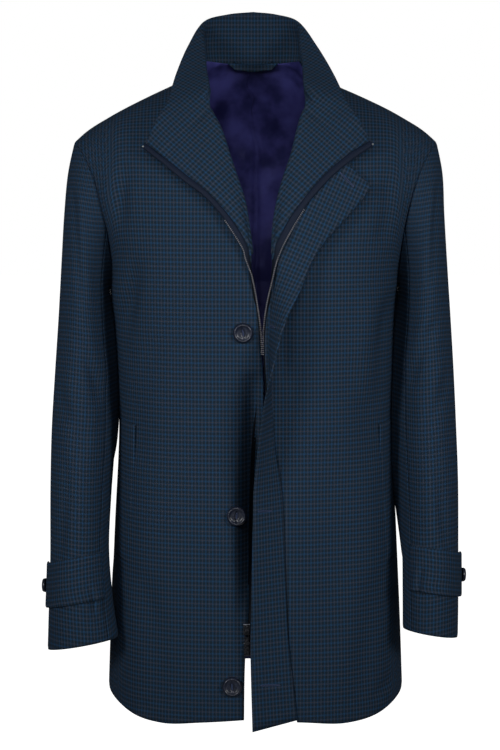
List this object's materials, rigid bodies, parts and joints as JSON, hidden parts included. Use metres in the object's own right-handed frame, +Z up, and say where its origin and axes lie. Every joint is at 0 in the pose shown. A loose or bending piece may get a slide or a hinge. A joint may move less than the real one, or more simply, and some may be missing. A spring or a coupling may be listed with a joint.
{
  "type": "car coat",
  "caption": "Mid-length cloth car coat in a small check, worn open and empty, with a stand collar folded back, a zip front under a buttoned storm flap, strapped cuffs and a satin back lining.",
  "frame": {"origin": "between the shoulders, where the wearer's body carries the coat", "axes": "+Z up, the front faces -Y, the wearer's left is +X"},
  "size_m": [0.5438, 0.323, 0.9018],
  "materials": {
    "coat_cloth": "matt woven cloth, dark navy ground with a small blue and brown check",
    "lining_satin": "smooth navy-violet satin with a soft sheen",
    "zip_tape": "flat woven navy tape",
    "button_resin": "polished dark navy resin",
    "zip_metal": "plain bright zip metal"
  },
  "bodies": {
    "coat": {"back": "coat_cloth", "front_right": "coat_cloth", "front_left": "coat_cloth", "top_sleeve_right": "coat_cloth", "under_sleeve_right": "coat_cloth", "top_sleeve_left": "coat_cloth", "under_sleeve_left": "coat_cloth", "collar": "coat_cloth", "facing_right": "coat_cloth", "facing_left": "coat_cloth", "storm_flap": "coat_cloth", "cuff_strap_right": "coat_cloth", "cuff_strap_left": "coat_cloth", "pocket_welt_right": "coat_cloth", "pocket_welt_left": "coat_cloth", "neck_facing": "coat_cloth", "hanger_loop": "coat_cloth", "lining_back_right": "lining_satin", "lining_back_left": "lining_satin", "zip_tape_right": "zip_tape", "zip_tape_left": "zip_tape", "front_button_top": "button_resin", "front_button_middle": "button_resin", "front_button_bottom": "button_resin", "cuff_button_right": "button_resin", "cuff_button_left": "button_resin", "zip_slider": "zip_metal", "zip_box": "zip_metal"},
    "pull": {"zip_pull": "zip_metal"}
  },
  "joints": [
    {"name": "pull_hinge", "type": "hinge", "parent": "coat", "child": "pull", "pos_m": [-0.00783, -0.15085, -0.6698], "axis": [-1, 0, 0], "range_deg": [0, 150]}
  ]
}
